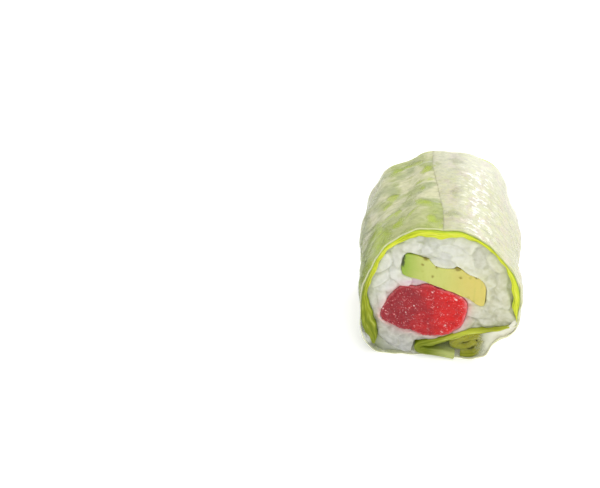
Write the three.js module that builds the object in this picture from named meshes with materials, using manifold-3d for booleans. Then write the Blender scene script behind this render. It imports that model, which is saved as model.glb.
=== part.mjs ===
// One piece of a sliced rice paper roll, lying on its side: softened rice paper wound round a lettuce
// leaf, sticky rice, a block of tuna and a slice of avocado. The fillings run from cut to cut.
import * as THREE from "three";
import { mergeVertices } from "three/addons/utils/BufferGeometryUtils.js";
import Module from "manifold-3d";

const wasm = await Module();
wasm.setup();

// Driving dimensions, in millimetres and degrees. X runs across the roll, Y along it, and Z up from the
// surface it lies on. Angles run anticlockwise round the roll's axis as seen from its front, from +X.
const ROLL_RADIUS = 20.2;
const AXIS_HEIGHT = 20.2;
const CUT_Y = 18; // the two knife cuts lie at -CUT_Y and +CUT_Y
const PAPER = 0.35; // thickness of the softened rice paper
const LEAF = 1.0; // thickness of a lettuce leaf, its small curls pressed together
const LEAF_FOLDED = 2.9; // thickness of the outer leaf where it is folded, at the left
const LEAF_END = 0.5; // and at its pointed end
const GAP = 0.33; // left between neighbours
const SEAM_ANGLE = 93; // where the paper's outer end lies, on top
const CORE_END_Y = 16.9; // how far the rice between the grains reaches
const GRAIN = { length: 6.2, width: 2.9, thickness: 2.5 };
const GRAINS_PER_CUT = 76; // before those that would lie in a filling are left out
const GRAIN_CLEARANCE = 0.6; // from a grain's middle to a filling, at least
const FILLING_CORNERS = 24;
const STEPS_ALONG = 6; // from cut to cut, the same in every solid, so that neighbours stay parallel

// Where the round outline bulges out or is pressed in: the middle, height and spread of each bulge.
const BULGES = [
  { at: 45, rise: -0.5, spread: 16 },
  { at: 77, rise: 0.5, spread: 8 },
  { at: 107, rise: 0.9, spread: 11 },
  { at: 155, rise: -0.4, spread: 14 },
  { at: 213, rise: 1.5, spread: 12 },
  { at: 230, rise: 4.2, spread: 15 }, // the heel at the lower left
  { at: 270, rise: 4.0, spread: 24 }, // pushed below the surface, where onOutline flattens it
  { at: 304, rise: 2.0, spread: 9 },
  { at: 337, rise: 1.5, spread: 9 },
];

// How far the outline has grown or shrunk, likewise, where it reaches the back cut.
const BACK_BULGES = [
  { at: 12, rise: -1.3, spread: 16 },
  { at: 50, rise: 1.1, spread: 14 },
  { at: 117, rise: -1.1, spread: 13 },
  { at: 163, rise: 1.2, spread: 18 },
];

// The leaf under the filling: in from the right, down to a fold at the left, and back along the bottom.
const UNDER_LEAF = [
  [17.9, 12.6], [15.0, 11.1], [11.0, 10.2], [7.0, 9.2], [3.6, 7.4], [0.2, 5.6], [-3.2, 4.4],
  [-4.9, 3.4], [-4.6, 2.3], [-2.4, 2.0], [1.4, 1.9], [5.0, 1.5],
];
const UNDER_LEAF_TOP = 7; // how many of those points lie above the fold
const UNDER_LEAF_TOP_SHARE = 0.66; // their share of the line's length

// A leaf folded to and fro in the pocket between the paper's turns, from its outer end inwards.
const POCKET_LEAF = [
  [6.5, 1.4], [9.4, 1.5], [11.0, 2.8], [11.8, 4.7], [12.6, 6.1], [13.4, 7.0], [13.7, 7.7], [13.1, 8.2],
  [11.9, 8.1], [8.8, 7.3], [5.2, 5.4], [4.2, 4.4], [5.2, 3.4], [7.4, 3.5], [9.4, 4.6], [10.7, 5.9],
];

// Outlines of the two long fillings, anticlockwise.
const TUNA = [
  [-14.2, 12.6], [-12.2, 10.8], [-7.7, 9.2], [-2.4, 8.1], [1.6, 8.5], [5.2, 10.6], [6.9, 14.0],
  [7.3, 17.6], [5.6, 19.5], [-0.2, 21.5], [-4.0, 23.2], [-9.4, 22.9], [-12.8, 18.2],
];
const AVOCADO = [
  [-8.9, 26.2], [-4.8, 25.1], [0.9, 22.9], [6.4, 20.9], [10.6, 18.9], [11.7, 19.7], [11.5, 24.2],
  [8.5, 26.9], [3.9, 28.7], [-2.9, 31.0], [-7.6, 32.4], [-9.4, 31.6], [-9.8, 28.6],
];

// The rice reaches the paper at the lower left, between the outer leaf's tip and the fold.
const RICE_HEEL = [
  [-14.0, 5.2], [-12.8, 3.4], [-10.4, 1.9], [-7.8, 0.9], [-6.1, 0.9], [-6.1, 3.2], [-5.6, 4.7],
];

const radians = THREE.MathUtils.degToRad;
const smooth = (from, to, value) => THREE.MathUtils.smoothstep(value, from, to);
const point = ([x, z]) => new THREE.Vector2(x, z);

// How strongly something centred at one angle acts at another: 1 at its middle, fading over its spread.
function hump(angle, middle, spread) {
  const away = THREE.MathUtils.euclideanModulo(angle - middle + 180, 360) - 180;
  return Math.exp(-((away / spread) ** 2));
}

function bulge(bulges, angle) {
  return bulges.reduce((sum, b) => sum + b.rise * hump(angle, b.at, b.spread), 0);
}

// The roll's outline at an angle, flat where it lies on the surface.
function outlinePoint(angle) {
  const radius = ROLL_RADIUS + bulge(BULGES, angle);
  const z = AXIS_HEIGHT + radius * Math.sin(radians(angle));
  return new THREE.Vector2(radius * Math.cos(radians(angle)), Math.max(z, 0));
}

// The point at an angle and so deep below the outline, square to it, so that layers stay parallel.
function onOutline(angle, depth) {
  const way = outlinePoint(angle + 2).sub(outlinePoint(angle - 2)).normalize();
  return outlinePoint(angle).add(new THREE.Vector2(-way.y * depth, way.x * depth));
}

// Soft swells of the outer layers, and the bulges of the back end. It moves every solid alike, so that
// neighbours stay apart, and leaves the middle and the flat bottom where they are.
function settle([x, y, z]) {
  const up = z - AXIS_HEIGHT;
  const radius = Math.hypot(x, up);
  const angle = Math.atan2(up, x);
  const share = smooth(8, 17, radius) * smooth(1, 9, z);
  const toBack = smooth(-CUT_Y, CUT_Y, y);
  const waves = 0.2 * Math.sin(5 * angle + y / 5) + 0.2 * Math.sin(y / 3 + 2 * angle);
  const swell = share * (waves + toBack * bulge(BACK_BULGES, THREE.MathUtils.radToDeg(angle)));
  const stretch = 1 + swell / Math.max(radius, 1);
  return [x * stretch, y, Math.max(AXIS_HEIGHT + up * stretch, 0)];
}

function smoothLine(points) {
  const through = points.map((p) => new THREE.Vector3(p.x, p.y, 0));
  return new THREE.CatmullRomCurve3(through, false, "centripetal");
}

function closedLine(points) {
  const through = points.map(([x, z]) => new THREE.Vector3(x, z, 0));
  return new THREE.CatmullRomCurve3(through, true, "centripetal");
}

// The point at a share of a curve's length, moved sideways: to the left of the way the curve runs.
function aside(curve, share, distance) {
  const at = curve.getPointAt(share);
  const way = curve.getTangentAt(share);
  return new THREE.Vector2(at.x - way.y * distance, at.y + way.x * distance);
}

function sidePoints(curve, count, distance) {
  return Array.from({ length: count + 1 }, (_, i) => aside(curve, i / count, distance));
}

function signedVolume(corners, faces) {
  const corner = (k) => new THREE.Vector3(...corners[k]);
  const six = faces.map(([a, b, c]) => corner(a).dot(corner(b).cross(corner(c))));
  return six.reduce((sum, v) => sum + v, 0) / 6;
}

// A geometry from corners and triangles, turned to face out.
function geometryOf(corners, faces) {
  const outward = signedVolume(corners, faces) < 0 ? faces.map(([a, b, c]) => [a, c, b]) : faces;
  const geometry = new THREE.BufferGeometry();
  geometry.setAttribute("position", new THREE.Float32BufferAttribute(corners.flat(), 3));
  geometry.setIndex(outward.flat());
  return geometry;
}

// A thin sheet: a middle line across the roll, swept from its front edge to its back edge. Thickness,
// front and back are functions of the angle and of the share of the line. Both faces are split alike.
function sheet({ line, thickness, across, front, back }) {
  const along = STEPS_ALONG;
  const corners = [];
  const middle = sidePoints(line, across, 0);
  for (const side of [0.5, -0.5]) {
    middle.forEach((at, i) => {
      const angle = THREE.MathUtils.radToDeg(Math.atan2(at.y - AXIS_HEIGHT, at.x));
      const { x, y: z } = aside(line, i / across, side * thickness(angle, i / across));
      const [from, to] = [front(angle, i / across), back(angle, i / across)];
      for (let j = 0; j <= along; j++) corners.push(settle([x, from + ((to - from) * j) / along, z]));
    });
  }
  const row = along + 1;
  const other = (across + 1) * row;
  const faces = [];
  const patch = (a, b, c, d) => faces.push([a, b, c], [a, c, d]);
  for (let i = 0; i < across; i++) {
    for (let j = 0; j < along; j++) {
      const [a, b, c, d] = [i * row + j, (i + 1) * row + j, (i + 1) * row + j + 1, i * row + j + 1];
      patch(a, b, c, d);
      faces.push([other + a, other + c, other + b], [other + a, other + d, other + c]);
    }
    const [front1, front2] = [i * row, (i + 1) * row];
    patch(front2, front1, other + front1, other + front2);
    patch(front1 + along, front2 + along, other + front2 + along, other + front1 + along);
  }
  for (let j = 0; j < along; j++) {
    const last = across * row + j;
    patch(j, j + 1, other + j + 1, other + j);
    patch(last + 1, last, other + last, other + last + 1);
  }
  return geometryOf(corners, faces);
}

// A bar of one outline from y = front to y = back, with rings of corners between.
function bar(outline, front, back, bevel = 0) {
  const shape = new THREE.Shape(outline);
  const geometry = new THREE.ExtrudeGeometry(shape, {
    depth: back - front - 2 * bevel,
    steps: STEPS_ALONG,
    bevelEnabled: bevel > 0,
    bevelThickness: bevel,
    bevelSize: bevel,
    bevelOffset: -bevel,
    bevelSegments: 2,
  });
  // The outline is drawn in X and Y and pushed along Z: turned so that it stands in X and Z.
  const place = geometry.getAttribute("position");
  for (let i = 0; i < place.count; i++) {
    const y = back - bevel - place.getZ(i);
    place.setXYZ(i, ...settle([place.getX(i), y, place.getY(i)]));
  }
  return geometry;
}

// manifold-3d's solid of a closed geometry, and back again.
function solidOf(geometry) {
  const bare = geometry.clone();
  bare.deleteAttribute("normal");
  bare.deleteAttribute("uv");
  const merged = mergeVertices(bare, 1e-4);
  return new wasm.Manifold(
    new wasm.Mesh({
      numProp: 3,
      vertProperties: merged.getAttribute("position").array,
      triVerts: new Uint32Array(merged.index.array),
    }),
  );
}

function geometryOfSolid(solid) {
  const { numProp, vertProperties, triVerts } = solid.getMesh();
  const geometry = new THREE.BufferGeometry();
  const places = vertProperties.filter((_, i) => i % numProp < 3);
  geometry.setAttribute("position", new THREE.BufferAttribute(places, 3));
  geometry.setIndex(new THREE.BufferAttribute(triVerts, 1));
  return geometry;
}

function largestPiece(solid) {
  return solid.decompose().sort((a, b) => b.volume() - a.volume())[0];
}

// Seeded random numbers from 0 to 1.
function randomFrom(seed) {
  let state = seed;
  return () => {
    state = (state * 1664525 + 1013904223) % 4294967296;
    return state / 4294967296;
  };
}

// 1 where the paper's inner turn lies under its outer end, on the right, and 0 left of the seam.
function underSeam(angle) {
  const turned = THREE.MathUtils.euclideanModulo(SEAM_ANGLE - angle, 360);
  return turned < 180 ? 1 : smooth(325, 362, turned);
}

function outerLeafDepth(angle) {
  return (PAPER + GAP) * (1 + underSeam(angle));
}

function outerLeafThickness(angle) {
  const turned = THREE.MathUtils.euclideanModulo(angle, 360);
  const folded = LEAF + (LEAF_FOLDED - LEAF) * hump(angle, 206, 20);
  return THREE.MathUtils.lerp(folded, LEAF_END, smooth(212, 230, turned) * (turned < 300 ? 1 : 0));
}

// The leaf under the filling is thin at its right end and pressed into a thick fold at the left.
function underLeafThickness(share) {
  return 0.7 + 0.8 * smooth(0.05, 0.35, share);
}

const underLeafTop = smoothLine(UNDER_LEAF.slice(0, UNDER_LEAF_TOP).map(point));

// Points along the leaf under the filling from its right end to its fold, so far from its faces.
function besideUnderLeaf(count, distance) {
  return Array.from({ length: count + 1 }, (_, i) => {
    const half = underLeafThickness((UNDER_LEAF_TOP_SHARE * i) / count) / 2;
    return aside(underLeafTop, i / count, distance + Math.sign(distance) * half);
  });
}

function paperSheet() {
  const points = [];
  const lastRingAngle = SEAM_ANGLE - 360 - 116;
  for (let angle = SEAM_ANGLE; angle > lastRingAngle; angle -= 6) {
    const turned = SEAM_ANGLE - angle;
    points.push(onOutline(angle, PAPER / 2 + (PAPER + GAP) * smooth(325, 362, turned)));
  }
  // The inner end leaves the outline at the lower right and follows the leaf under the filling.
  points.push(...besideUnderLeaf(8, GAP + PAPER / 2).slice(1, 7));
  return sheet({
    line: smoothLine(points),
    thickness: () => PAPER,
    across: 84,
    front: (angle) => -CUT_Y - 0.3 * Math.sin(radians(3 * angle)) + 0.9 * hump(angle, 270, 32),
    back: (angle) => CUT_Y + 0.3 * Math.sin(radians(3 * angle + 120)) - 0.7 * hump(angle, 280, 38),
  });
}

function outerLeaf() {
  const points = [];
  for (let angle = -12; angle <= 226; angle += 5.95) {
    points.push(onOutline(angle, outerLeafDepth(angle) + outerLeafThickness(angle) / 2));
  }
  return sheet({
    line: smoothLine(points),
    thickness: outerLeafThickness,
    across: 48,
    front: (angle) => -CUT_Y - 1.0 - 0.35 * Math.sin(radians(5 * angle + 30)) + 0.7 * hump(angle, 226, 12),
    back: (angle) => CUT_Y + 1.0 + 0.35 * Math.sin(radians(5 * angle + 200)) + 0.3 * hump(angle, 60, 30),
  });
}

function underLeaf() {
  return sheet({
    line: smoothLine(UNDER_LEAF.map(point)),
    thickness: (_, share) => underLeafThickness(share),
    across: 32,
    front: (_, share) => -CUT_Y - 0.3 - 0.5 * Math.sin(7 * share),
    back: (_, share) => CUT_Y + 0.3 + 0.5 * Math.sin(6 * share + 1),
  });
}

function pocketLeaf() {
  return sheet({
    line: smoothLine(POCKET_LEAF.map(point)),
    thickness: () => LEAF,
    across: 40,
    front: (_, share) => -CUT_Y + 0.6 + 0.5 * Math.sin(9 * share),
    back: (_, share) => CUT_Y - 0.4 - 0.5 * Math.sin(8 * share),
  });
}

// The evenly spaced corners of a filling's outline, grown outwards by so much.
function fillingCorners(outline, grown) {
  return sidePoints(closedLine(outline), FILLING_CORNERS, -grown).slice(0, -1);
}

function filling(outline, cutY) {
  return bar(fillingCorners(outline, 0), -cutY, cutY, 0.45);
}

// The hole that a filling leaves in the rice, longer than the roll.
function roomFor(outline) {
  return solidOf(bar(fillingCorners(outline, GAP), -CUT_Y - 1, CUT_Y + 1));
}

function riceOutline() {
  const points = [];
  for (let angle = -15; angle <= 219; angle += 6) {
    points.push(onOutline(angle, outerLeafDepth(angle) + outerLeafThickness(angle) + GAP));
  }
  points.push(...RICE_HEEL.map(point));
  points.push(...besideUnderLeaf(8, -GAP).reverse());
  return points;
}

function insideOutline({ x, y }, outline) {
  let inside = false;
  outline.forEach((a, i) => {
    const b = outline[(i + 1) % outline.length];
    if (a.y > y !== b.y > y && x < ((b.x - a.x) * (y - a.y)) / (b.y - a.y) + a.x) inside = !inside;
  });
  return inside;
}

// Whole grains lying in a cut face, spread by the golden angle, with a seeded turn and tilt each.
function grainsAt(side, outline, keepOut, random) {
  const grains = [];
  const goldenAngle = 137.508;
  for (let k = 0; k < GRAINS_PER_CUT; k++) {
    const reach = 18.4 * Math.sqrt((k + 0.5) / GRAINS_PER_CUT);
    const angle = radians(k * goldenAngle + (side > 0 ? 40 : 0));
    const middle = new THREE.Vector2(reach * Math.cos(angle), AXIS_HEIGHT + reach * Math.sin(angle));
    const [turn, tilt, rise] = [random() * Math.PI, (random() - 0.5) * 0.9, random() * 0.5];
    if (!insideOutline(middle, outline) || keepOut.some((line) => insideOutline(middle, line))) continue;
    const grain = new THREE.SphereGeometry(0.5, 5, 4);
    grain.scale(GRAIN.width, GRAIN.length, GRAIN.thickness);
    grain.rotateX(tilt);
    grain.rotateZ(turn);
    grain.rotateX(Math.PI / 2);
    grain.translate(middle.x, side * (CUT_Y - 1.0 + rise), middle.y);
    grains.push(solidOf(grain));
  }
  return grains;
}

// The sticky rice: a core between the cuts, with the grains that show at each cut fused on.
function rice() {
  const random = randomFrom(20);
  const outline = riceOutline();
  const keepOut = [TUNA, AVOCADO].map((line) => fillingCorners(line, GRAIN_CLEARANCE));
  const limits = solidOf(bar(outline, -CUT_Y - 1, CUT_Y + 1));
  const core = limits.trimByPlane([0, 1, 0], -CORE_END_Y).trimByPlane([0, -1, 0], -CORE_END_Y);
  const grains = [-1, 1].flatMap((side) => grainsAt(side, outline, keepOut, random));
  const whole = wasm.Manifold.union(grains).intersect(limits).add(core);
  const hollowed = [TUNA, AVOCADO].reduce((sum, line) => sum.subtract(roomFor(line)), whole);
  return geometryOfSolid(largestPiece(hollowed));
}

function material(color, roughness) {
  return new THREE.MeshStandardMaterial({ color, roughness, metalness: 0 });
}

const leafGreen = material(0x9fc02c, 0.45);
const pieces = {
  rice_paper: [paperSheet(), material(0xdfe3cf, 0.3)],
  lettuce_outer: [outerLeaf(), leafGreen],
  lettuce_under: [underLeaf(), leafGreen],
  lettuce_pocket: [pocketLeaf(), leafGreen],
  rice: [rice(), material(0xe8e9e2, 0.35)],
  tuna: [filling(TUNA, CUT_Y + 0.2), material(0xb8232c, 0.3)],
  avocado: [filling(AVOCADO, CUT_Y - 0.1), material(0xc9cc62, 0.45)],
};

const roll = new THREE.Group();
for (const [name, [geometry, finish]] of Object.entries(pieces)) {
  const mesh = new THREE.Mesh(geometry, finish);
  mesh.name = name;
  roll.add(mesh);
}

export default roll;
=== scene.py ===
"""The look of one cut piece of a rice paper roll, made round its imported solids.

Shapes are worked out in millimetres, in the solids' own frame, and become metres in add_piece().
X runs across the roll, Y along it from the front cut to the back one, and Z up from the surface.
Angles run anticlockwise round the roll's axis as seen from its front, in degrees from +X.
"""
import math

import bpy
import numpy as np
from mathutils import Matrix, Vector
from mathutils.geometry import tessellate_polygon

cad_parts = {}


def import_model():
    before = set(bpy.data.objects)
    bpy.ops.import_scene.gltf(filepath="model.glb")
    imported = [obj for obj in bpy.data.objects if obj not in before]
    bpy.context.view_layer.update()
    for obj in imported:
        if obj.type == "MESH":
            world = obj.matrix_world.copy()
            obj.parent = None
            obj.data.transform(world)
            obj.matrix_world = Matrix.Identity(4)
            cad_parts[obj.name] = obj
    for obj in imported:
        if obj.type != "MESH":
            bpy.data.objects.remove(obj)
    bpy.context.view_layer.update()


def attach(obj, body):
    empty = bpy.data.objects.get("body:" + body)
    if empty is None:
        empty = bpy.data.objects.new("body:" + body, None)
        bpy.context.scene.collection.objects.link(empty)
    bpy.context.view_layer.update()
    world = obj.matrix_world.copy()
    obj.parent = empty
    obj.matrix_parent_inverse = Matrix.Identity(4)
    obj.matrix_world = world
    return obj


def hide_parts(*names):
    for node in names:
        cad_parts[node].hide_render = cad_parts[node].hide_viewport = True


MM = 0.001

# The roll's outline is that of the solids, and its fillings keep within a millimetre of theirs. The paper
# is thinner here, as wet rice paper is.
ROLL_RADIUS = 20.2
AXIS_HEIGHT = 20.2
CUT_Y = 18
PAPER = 0.15  # thickness, like FLAP, LEAF and LEAF_END
FLAP = 0.09
GAP = 0.06  # between one layer and the next
BEVEL = 0.25  # of the fillings' cut edges
LEAF = 0.85
LEAF_END = 0.4
LEAF_ANGLES = np.arange(-17, 226, 2)  # where the outer leaf's line has its points ...
RICE_ANGLES = np.arange(-21, 220, 3)  # ... and the rice's edge against it
LEAF_LEFT_END = (216, 231)  # the angles over which the outer leaf thins out at its left end ...
LEAF_RIGHT_END = (357, 344)  # ... and at its right one
LEAF_TUCK = (200, 222)  # and those over which its left end draws in under the rice
LEAF_TUCK_DEPTH = 1.2
LEAF_FOLDS = [  # angle, added thickness, spread
    (209, 2.6, 20), (160, 0.3, 25), (97, 1.05, 24), (50, -0.3, 22), (4, 0.9, 18),
]
SHOULDERS = [(165, 1, 32)]  # where the front cut's edge draws in: angle, depth, spread
SEAM_FRONT = 89  # the angle where the paper's outer end lies, at the front cut ...
SEAM_BACK = 101  # ... and at the back one
PAPER_TURNED = 484  # how far the paper winds before its inner end leaves the outline
DOUBLING = (325, 355)  # how far it has turned where it begins to lie double, and where it does
CREASE = 0.12  # depth of the creases
BULGES = [  # angle, rise, spread
    (45, -0.5, 16), (77, 0.5, 8), (107, 0.9, 11), (155, -0.4, 14), (213, 1.5, 12), (230, 4.2, 15),
    (270, 4, 24), (304, 2, 9), (327, 1.1, 8), (337, 1.5, 9),
]
BACK_BULGES = [(21, -1.9, 15), (54, 0.65, 13), (117, -1.1, 13), (140, 0.9, 9), (163, 1.2, 18)]
SWELLS = [  # angle, place along the roll, rise, spread in degrees, spread along the roll
    (5, 11, 0.65, 16, 5.5),
    (0, -14, 0.85, 25, 5),
    (172, 2, 0.9, 25, 7),
]
# Lines and outlines of the X-Z plane, as smooth curves through points.
UNDER_LEAF = [
    (18.2, 11.9), (15, 10.7), (11, 9.8), (7, 8.8), (3.6, 7), (0.2, 5.3), (-2.8, 4.2),
    (-4.3, 3.3), (-4.1, 2.3), (-2.2, 1.9), (1.4, 1.8), (5, 1.5),
]
UNDER_LEAF_TOP = 7  # how many of its points lie along its upper stretch ...
UNDER_LEAF_TOP_SHARE = 0.66  # ... and their share of its length
POCKET_LEAF = [
    (6.5, 1.6), (9.4, 1.6), (10.8, 2.8), (11.5, 4.6), (12.2, 5.9), (12.9, 6.7), (13.1, 7.3), (12.6, 7.7),
    (11.5, 7.5), (8.8, 6.9), (5.6, 5.5), (4.6, 4.6), (5.4, 3.7), (7.4, 3.6), (9.2, 4.5), (10.4, 5.7),
]
TUNA = [
    (-14.2, 12.6), (-12.2, 10.6), (-7.7, 8.7), (-2.4, 7.4), (2.2, 7.8), (5.8, 10.2), (7.2, 14),
    (7.4, 17.8), (5.8, 20.1), (0, 22.3), (-3.4, 23.3), (-5.4, 22.5), (-9.4, 22.3), (-12.8, 18.2),
]
AVOCADO = [
    (-9.4, 26.3), (-8.6, 25.8), (-4.8, 24.7), (0.9, 22.6), (6.4, 20.4), (10.6, 17.9), (11.4, 18),
    (11.6, 20.5), (11.5, 23.6), (10.2, 26), (8.2, 26.8), (6.8, 27.4), (5.5, 28.5), (4.1, 29.3),
    (3.3, 28.7), (0.8, 28.8), (-0.9, 29.2), (-2.1, 30.3), (-2.9, 31.1), (-4.6, 31.6), (-7, 32.4),
    (-9, 32.1), (-9.7, 28.8),
]
RICE_HEEL = [
    (-14, 5.2), (-12.8, 3.4), (-10.4, 1.9), (-7.8, 0.9), (-6.8, 1), (-6.2, 1.7), (-6, 3.2),
    (-5.6, 4.7),
]
FLAP_TOP = [
    (1, 4.6), (4.5, 6.6), (8, 8), (12, 8.8), (15.5, 10.2), (17.4, 11.6), (19, 13.9), (20.1, 16.5),
]
HEEL_FLAP_TOP = [
    (-15.6, 5.6), (-15, 6.6), (-14.2, 6), (-12.8, 3.8), (-10.4, 2.2), (-8, 1.2), (-6.6, 0.9),
]


# ---- numbers

def smooth(low, high, value):
    """0 where value is low and 1 where it is high, with a smooth step between."""
    share = np.clip((value - low) / (high - low), 0, 1)
    return share * share * (3 - 2 * share)


def hump(angle, middle, spread):
    """1 where angle is middle, fading over spread."""
    away = (angle - middle + 180) % 360 - 180
    return np.exp(-((away / spread) ** 2))


def ripples(seed, shortest, longest, stretch, count=28):
    """A smooth random field of about unit height, made of waves between two lengths. stretch, one number
    for each coordinate, makes it longer that way."""
    draw = np.random.default_rng(seed)
    ways = draw.normal(size=(count, len(stretch)))
    ways /= np.linalg.norm(ways, axis=1, keepdims=True)
    waves = ways * (2 * np.pi / draw.uniform(shortest, longest, (count, 1))) / np.array(stretch)
    phases = draw.uniform(0, 2 * np.pi, count)

    def field(*places):
        spread = np.stack(np.broadcast_arrays(*places), -1) @ waves.T
        return np.cos(spread + phases).sum(-1) * math.sqrt(2 / count)

    return field


# ---- the roll's outline and layers

def bulge(bulges, angle):
    return sum(rise * hump(angle, at, spread) for at, rise, spread in bulges)


def outline_point(angle):
    radius = ROLL_RADIUS + bulge(BULGES, angle)
    x = radius * np.cos(np.radians(angle))
    z = AXIS_HEIGHT + radius * np.sin(np.radians(angle))
    return np.stack([x, np.maximum(z, 0)], -1)


def angle_of(places):
    """The angle round the axis of places in the X-Z plane."""
    return np.degrees(np.arctan2(places[..., 1] - AXIS_HEIGHT, places[..., 0]))


def leftwards(way):
    """Steps of 1 mm square to ways in the X-Z plane, to their left."""
    way = way / np.linalg.norm(way, axis=-1, keepdims=True)
    return np.stack([-way[..., 1], way[..., 0]], -1)


def on_outline(angle, depth):
    """The point at an angle and so deep below the outline, square to it."""
    angle = np.asarray(angle, float)
    way = outline_point(angle + 2) - outline_point(angle - 2)
    return outline_point(angle) + leftwards(way) * np.asarray(depth, float)[..., None]


def creases(angle, y):
    """Shallow bands that run round the roll, where the leaf's ribs press against the paper."""
    turn = np.radians(angle)
    wander = 0.9 * np.sin(2.3 * turn + 1.1) + 0.5 * np.sin(5 * turn + 0.4)
    strength = 0.6 + 0.4 * np.sin(3 * turn + y / 7)
    return CREASE * strength * np.sin(2 * np.pi * (y + wander) / 5.3)


def settle(points):
    """The same soft swells as the solids have, with bulges, creases and drawn-in edges. It moves every
    layer alike, less towards the axis and the surface below."""
    x, y, z = points[..., 0], points[..., 1], points[..., 2]
    up = z - AXIS_HEIGHT
    radius = np.hypot(x, up)
    turn = np.arctan2(up, x)
    share = smooth(8, 17, radius) * smooth(1, 9, z)
    angle = np.degrees(turn)
    waves = 0.2 * np.sin(5 * turn + y / 5) + 0.2 * np.sin(y / 3 + 2 * turn)
    back = smooth(-CUT_Y, CUT_Y, y) * bulge(BACK_BULGES, angle)
    drawn_in = smooth(4 - CUT_Y, -0.5 - CUT_Y, y) * bulge(SHOULDERS, angle)
    local = sum(rise * hump(angle, at, spread) * np.exp(-(((y - along) / reach) ** 2))
                for at, along, rise, spread, reach in SWELLS)
    swell = share * (waves + back + local + creases(angle, y) - drawn_in)
    stretch = 1 + swell / np.maximum(radius, 1)
    return np.stack([x * stretch, y, np.maximum(AXIS_HEIGHT + up * stretch, 0)], -1)


def under_seam(angle):
    """1 where the paper lies double, fading to 0 just past its outer end."""
    turned = (SEAM_BACK - angle) % 360
    return np.where(turned < 180, 1, smooth(*DOUBLING, turned))


def outer_leaf_depth(angle):
    """How deep the outer leaf's outer face lies below the outline."""
    tucked_in = smooth(*LEAF_TUCK, angle % 360) * (angle % 360 < 300)
    return 0.05 + (PAPER + GAP) * (1 + under_seam(angle)) + LEAF_TUCK_DEPTH * tucked_in


def outer_leaf_thickness(angle):
    turned = angle % 360
    folded = LEAF + bulge(LEAF_FOLDS, angle)
    left_end = smooth(*LEAF_LEFT_END, turned) * (turned < 300)
    right_end = smooth(*LEAF_RIGHT_END, turned) * (turned > 300)
    return folded + (LEAF_END - folded) * np.maximum(left_end, right_end)


def under_leaf_thickness(share):
    return 0.3 + 1.1 * smooth(0, 0.4, share) + 0.7 * smooth(0.45, 0.6, share)


# ---- curves of the X-Z plane

def catmull_rom(points, closed):
    """Ten points from each to the next of a centripetal Catmull-Rom curve through the given ones."""
    points = np.array(points, float)
    if closed:
        run = np.concatenate([points[-1:], points, points[:2]])
    else:
        run = np.concatenate([[2 * points[0] - points[1]], points, [2 * points[-1] - points[-2]]])
    p0, p1, p2, p3 = run[:-3], run[1:-2], run[2:-1], run[3:]
    knots = np.linalg.norm(np.diff(run, axis=0), axis=1, keepdims=True) ** 0.5
    d0, d1, d2 = knots[:-2], knots[1:-1], knots[2:]
    m1 = ((p1 - p0) / d0 - (p2 - p0) / (d0 + d1) + (p2 - p1) / d1) * d1
    m2 = ((p2 - p1) / d1 - (p3 - p1) / (d1 + d2) + (p3 - p2) / d2) * d1
    t = (np.arange(10) / 10)[:, None, None]
    a = 2 * p1 - 2 * p2 + m1 + m2
    b = -3 * p1 + 3 * p2 - 2 * m1 - m2
    curve = ((a * t + b) * t + m1) * t + p1
    curve = curve.transpose(1, 0, 2).reshape(-1, 2)
    return np.concatenate([curve, p2[-1:]])


class Line:
    """A smooth curve, read at shares of its length from 0 to 1."""

    def __init__(self, points, closed=False):
        self.closed = closed
        self.points = catmull_rom(points, closed)
        steps = np.linalg.norm(np.diff(self.points, axis=0), axis=1)
        self.length = steps.sum()
        self.shares = np.concatenate([[0], np.cumsum(steps)]) / self.length

    def at(self, share):
        share = share % 1 if self.closed else np.clip(share, 0, 1)
        return np.stack([np.interp(share, self.shares, self.points[:, k]) for k in (0, 1)], -1)

    def aside(self, share, distance):
        """Points moved square to the curve, to the left of the way it runs."""
        step = 0.3 / self.length
        way = self.at(share + step) - self.at(share - step)
        return self.at(share) + leftwards(way) * np.asarray(distance)[..., None]


UNDER_LEAF_TOP_LINE = Line(UNDER_LEAF[:UNDER_LEAF_TOP])


def beside_under_leaf(side, gap):
    """Points a gap away from the under leaf's upper stretch: above it with side -1, below it with 1."""
    share = np.linspace(0, 1, 9)
    half = under_leaf_thickness(UNDER_LEAF_TOP_SHARE * share) / 2
    return UNDER_LEAF_TOP_LINE.aside(share, side * (half + gap))


def paper_line():
    """The paper's middle, from its outer end round the roll and in under the filling."""
    turned = np.arange(0, PAPER_TURNED, 2)
    depth = PAPER / 2 + (PAPER + GAP) * smooth(*DOUBLING, turned)
    ring = on_outline(SEAM_BACK - turned, depth)
    inner_end = beside_under_leaf(1, 0.25 + PAPER / 2)[1:7]
    return Line(np.concatenate([ring, inner_end]))


def outer_leaf_line():
    depth = outer_leaf_depth(LEAF_ANGLES) + outer_leaf_thickness(LEAF_ANGLES) / 2
    return Line(on_outline(LEAF_ANGLES, depth))


def rice_outline():
    """The rice's edge: round the roll against the outer leaf, then its heel, then the under leaf's top."""
    leaf_thickness = outer_leaf_thickness(RICE_ANGLES) * smooth(RICE_ANGLES[0], LEAF_ANGLES[0], RICE_ANGLES)
    edge = on_outline(RICE_ANGLES, outer_leaf_depth(RICE_ANGLES) + leaf_thickness - 0.05)
    return np.concatenate([edge, RICE_HEEL, beside_under_leaf(-1, -0.05)[::-1]])


def filling_outline(points, count, grown=0):
    return Line(points, closed=True).aside(np.arange(count) / count, -grown * np.ones(count))


# ---- meshes

def new_mesh(name, corners, faces):
    mesh = bpy.data.meshes.new(name)
    mesh.from_pydata(np.asarray(corners, float).tolist(), [], [list(map(int, f)) for f in faces])
    return mesh


def new_object(name, data):
    """An object of some data, in the scene."""
    made = bpy.data.objects.new(name, data)
    bpy.context.scene.collection.objects.link(made)
    return made


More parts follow.
